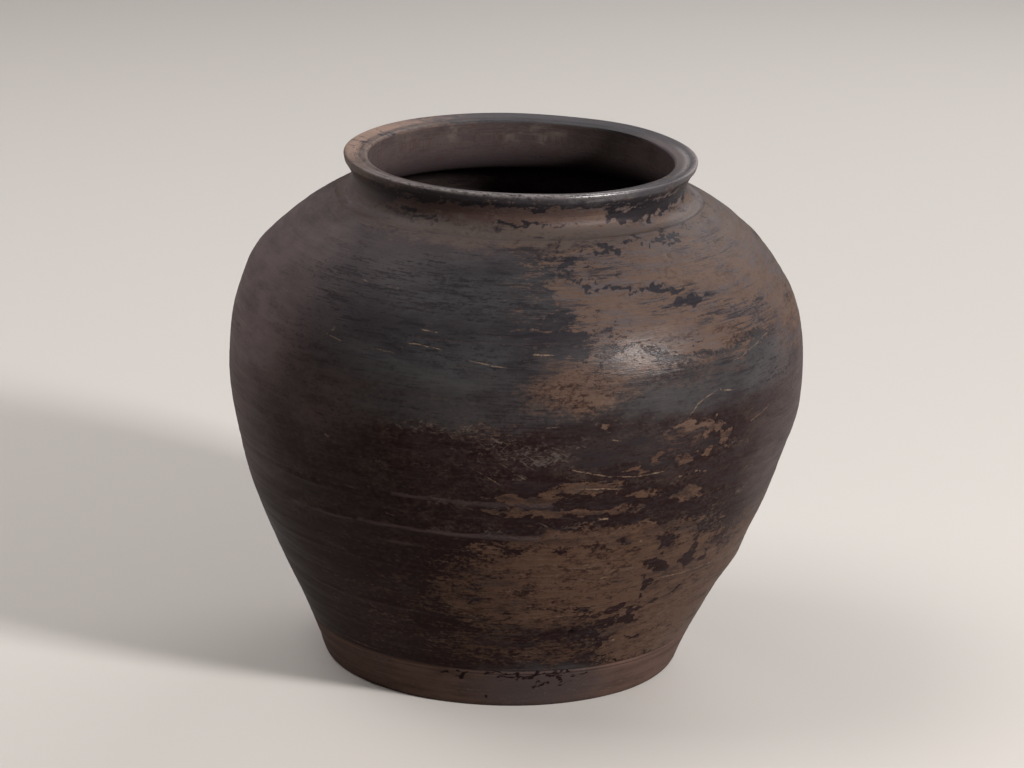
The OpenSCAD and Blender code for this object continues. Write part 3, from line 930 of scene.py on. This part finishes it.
    # Fine dark blue flecks, thicker where the speck field is strong
    speck = g.attribute("speck")
    streaky = g.times(g.spread(strokes, 0.7), g.step(up, 120, 170, 0.35, 1))
    sprinkled = g.add(flecks, streaky, g.times(speck, 0.16), g.spread(drift, 0.4))
    speckled = g.times(g.step(sprinkled, 0.55, 0.76, 0, 0.7), g.step(speck, 0, 0.35))
    colour = g.mix(speckled, colour, FLECK_BLUE)

    # Crossing strokes of rubbing, then single scratches
    hatch = g.math("MAXIMUM", g.slanted(spot, 41, (4.5, 0.6)), g.slanted(spot, -28, (6, 0.7)))
    hatch = g.math("MAXIMUM", hatch, g.slanted(spot, 6, (5, 0.7)))
    hatch = g.add(hatch, g.times(rub, 0.19), g.spread(cloud, 0.3), g.spread(flecks, 0.3))
    hatch = g.times(g.step(hatch, 0.77, 0.95), g.step(rub, 0.05, 0.35))
    colour = g.mix(g.times(hatch, 0.45), colour, PALE_SCUFF)
    wander = g.add(g.attribute("scratch_across"), g.spread(tatter, 1.6))
    thin = g.math("DIVIDE", g.math("ABSOLUTE", wander), g.attribute("scratch_half"))
    ends = g.step(g.math("ABSOLUTE", g.attribute("scratch_along")), 0.75, 1.05, 1, 0)
    scratched = g.times(g.step(thin, 0.3, 1.3, 1, 0), ends, g.step(flecks, 0.38, 0.6),
                        g.attribute("scratch_light"))
    colour = g.mix(scratched, colour, TAN_SCRATCH)

    # The foot band, which was never burnished
    stained = g.step(g.add(cloud, g.spread(streaks, 0.5)), 0.35, 0.7, 0, 0.5)
    bare_colour = g.mix(stained, BARE_CLAY, DUN_SLIP)
    bare_colour = g.mix(g.attribute("blue"), bare_colour, FOOT_GREY)
    bare_colour = g.mix(g.step(brushed, 0.58, 0.84, 0, 0.3), bare_colour, PALE_SCUFF)
    marked = g.step(g.add(g.attribute("foot_mark"), g.spread(flecks, 1.5)), -0.15, 0.1)
    bare_colour = g.mix(marked, bare_colour, BLACK_SLIP)
    colour = g.mix(bare, colour, bare_colour)

    # The inside: clay below, painted pale to stand in for light bounced inside; a darker band under the
    # shoulder, painted shade with soot streaks; worn clay again round the throat
    inside_colour = g.mix(g.step(up, 196, 208), DEEP_CLAY, SOOT_AND_SHADE)
    inside_colour = g.mix(g.step(g.add(up, g.spread(tatter, 6)), 212, 226), inside_colour, INSIDE_CLAY)
    patchy = g.step(g.add(blotch, g.spread(flecks, 0.7)), 0.50, 0.70, 0, 0.5)
    inside_colour = g.mix(patchy, inside_colour, UMBER_CLAY)
    inside_colour = g.mix(g.step(flecks, 0.30, 0.42, 0.6, 0), inside_colour, BLACK_SLIP)
    wiped = g.step(g.add(strokes, g.spread(cloud, 0.5)), 0.38, 0.56, 0.55, 0)
    inside_colour = g.mix(wiped, inside_colour, SOOT_AND_SHADE)
    smudged = g.times(g.attribute("smudge"), g.step(tatter, 0.42, 0.6, 0, 0.7))
    inside_colour = g.mix(smudged, inside_colour, PALE_SCUFF)
    colour = g.mix(inside, colour, inside_colour)

    # Painted highlight: a thin light line along the lip's top edge, where it would mirror the bright room
    # behind
    glint = g.step(g.add(streaks, g.spread(flecks, 0.5)), 0.30, 0.52)
    glint = g.times(g.attribute("lip_glint"), glint)
    colour = g.mix(glint, colour, PAINTED_GLINT)
    # Painted shade: the pits are darkened
    colour = g.mix(g.step(g.attribute("pit"), 0.3, 0.7, 0, 0.9), colour, PIT_SHADE)

    # Roughness: lowest where burnished, higher in the painted lilac sheen and inside
    gloss = g.attribute("gloss")
    shine = g.add(g.step(streaks, 0.3, 0.7, 0.40, 0.50), g.spread(flecks, 0.16))
    polish = g.times(g.math("MINIMUM", gloss, 1), -0.12)
    shine = g.add(shine, g.times(haze_sheen, 0.12), polish, g.times(inside, 0.3), rough)

    # Fine relief, in mm: turning lines, brush strokes, grain, flaked edges and scratches
    height = g.add(g.times(streaks, 0.08), g.times(strokes, 0.12), g.times(grain, 0.03),
                   g.times(flecks, 0.10), g.times(gone, -0.05), g.times(g.add(scratched, hatch), -0.03))
    relief = g.node("ShaderNodeBump", {"Strength": 1.0, "Distance": MM, "Height": height})
    coat = g.times(gloss, g.step(flecks, 0.3, 0.6, 0.09, 0.30))
    shader = g.node("ShaderNodeBsdfPrincipled", {
        "Base Color": colour, "Roughness": shine, "Normal": relief.outputs[0],
        "Specular IOR Level": specular, "Specular Tint": GLOSS_TINT,
        "Coat Weight": coat, "Coat Roughness": COAT_ROUGHNESS, "Coat Normal": relief.outputs[0]})
    out = g.node("ShaderNodeOutputMaterial")
    g.tree.links.new(shader.outputs[0], out.inputs["Surface"])
    return g.material


def plain(name, colour, roughness):
    g = Graph(name)
    shader = g.node("ShaderNodeBsdfPrincipled", {"Base Color": (*colour, 1), "Roughness": roughness,
                    "Specular IOR Level": 0.2})
    out = g.node("ShaderNodeOutputMaterial")
    g.tree.links.new(shader.outputs[0], out.inputs["Surface"])
    return g.material


# ---------------------------------------------------------------- stage, light and camera
# Radius of the flat floor, radius of the bend and height of the wall, in metres
STAGE_R, STAGE_BEND, STAGE_TOP = 3.0, 0.6, 1.4
STAGE_SIDES = 96
STAGE_PALE = (0.53, 0.50, 0.47)
STAGE_ROUGHNESS = 0.9


def make_stage():
    """A round pale floor that curves up into a low pale wall all round, in one sheet."""
    side = [(STAGE_R + STAGE_BEND * math.sin(t), STAGE_BEND * (1 - math.cos(t)))
            for t in np.radians(np.linspace(0, 90, 16))]
    side.append((STAGE_R + STAGE_BEND, STAGE_TOP))
    turns = np.linspace(0, 2 * np.pi, STAGE_SIDES, endpoint=False)
    points = [(0, 0, 0)] + [(r * math.sin(a), -r * math.cos(a), z) for r, z in side for a in turns]
    faces = [(0, 1 + j, 1 + (j + 1) % STAGE_SIDES) for j in range(STAGE_SIDES)]
    for i in range(len(side) - 1):
        low, high = 1 + i * STAGE_SIDES, 1 + (i + 1) * STAGE_SIDES
        for j in range(STAGE_SIDES):
            k = (j + 1) % STAGE_SIDES
            faces.append((low + j, high + j, high + k, low + k))
    mesh = bpy.data.meshes.new("stage_floor")
    mesh.from_pydata(points, [], faces)
    mesh.polygons.foreach_set("use_smooth", [True] * len(faces))
    mesh.update()
    floor = bpy.data.objects.new("stage_floor", mesh)
    bpy.context.scene.collection.objects.link(floor)
    mesh.materials.append(plain("stage_pale", STAGE_PALE, STAGE_ROUGHNESS))


# Lights: name, azimuth and elevation in degrees, distance and width in metres, watts, colour
LIGHTS = (
    ("key", 54, 26, 1.9, 0.28, 50, (1, 0.98, 0.965)),
    ("fill", -98, 55, 1.8, 1.2, 17, (1, 0.965, 0.955)),
    ("back", 150, 35, 1.8, 1.2, 14, (0.98, 0.98, 1)),
    ("back_left", -138, 45, 1.8, 1.2, 6, (0.98, 0.98, 1)),
)
LIGHT_AIM = Vector((0, 0, 0.13))
WORLD_COLOUR = (1.0, 0.95, 0.92, 1)
WORLD_STRENGTH = 0.12


def area_light(name, azimuth, elevation, distance, size, power, colour):
    """A soft square light aimed at the middle of the pot."""
    data = bpy.data.lights.new(name, "AREA")
    data.size = size
    data.energy = power
    data.color = colour
    light = bpy.data.objects.new(name, data)
    bpy.context.scene.collection.objects.link(light)
    a, e = math.radians(azimuth), math.radians(elevation)
    away = Vector((math.sin(a) * math.cos(e), -math.cos(a) * math.cos(e), math.sin(e)))
    light.location = away * distance + LIGHT_AIM
    light.rotation_euler = away.to_track_quat("Z", "Y").to_euler()


def make_light():
    """The lamps, and a weak even light from all round."""
    for light in LIGHTS:
        area_light(*light)
    world = bpy.data.worlds.new("studio")
    world.use_nodes = True
    sky = world.node_tree.nodes["Background"]
    sky.inputs["Color"].default_value = WORLD_COLOUR
    sky.inputs["Strength"].default_value = WORLD_STRENGTH
    bpy.context.scene.world = world
    bpy.context.scene.view_settings.view_transform = "Standard"


# Where the camera stands, in metres, and how it is turned, in degrees
CAMERA_BACK, CAMERA_HEIGHT = 1.7434, 0.6502
CAMERA_DIP, CAMERA_ROLL, CAMERA_TURN = 16.75, 1.59, 0.07
# Focal length and width of the sensor, in mm
CAMERA_LENS, CAMERA_SENSOR = 140.6, 36


def make_camera():
    """The camera at the photograph's viewing angle."""
    data = bpy.data.cameras.new("camera")
    data.lens = CAMERA_LENS
    data.sensor_width = CAMERA_SENSOR
    camera = bpy.data.objects.new("camera", data)
    bpy.context.scene.collection.objects.link(camera)
    aim = (Matrix.Rotation(math.radians(-CAMERA_TURN), 4, "Z")
           @ Matrix.Rotation(math.radians(90 - CAMERA_DIP), 4, "X")
           @ Matrix.Rotation(math.radians(CAMERA_ROLL), 4, "Z"))
    camera.matrix_world = Matrix.Translation((0, -CAMERA_BACK, CAMERA_HEIGHT)) @ aim
    bpy.context.scene.camera = camera


def make_pot():
    """Every course of clay from the foot up, then the material of each slot."""
    make_slab()
    make_foot()
    for name, z0, z1 in (("lower_wall", FOOT_Z, LOWER_Z), ("middle_wall", LOWER_Z, MIDDLE_Z),
                         ("belly_wall", MIDDLE_Z, GROOVE_Z), ("shoulder_wall", GROOVE_Z, COLLAR_Z)):
        ring_piece(name, "burnished_clay", *wall_loop(z0, z1))
    make_neck()
    make_rim()
    looks = {"burnished_clay": clay("burnished_clay"), "worn_clay": clay("worn_clay", specular=0.12),
             "bare_clay": clay("bare_clay", bare=1.0, rough=0.14)}
    for piece in bpy.data.objects:
        if "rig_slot" in piece:
            piece.data.materials.append(looks[piece["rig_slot"]])


make_stage()
make_light()
make_camera()
make_pot()
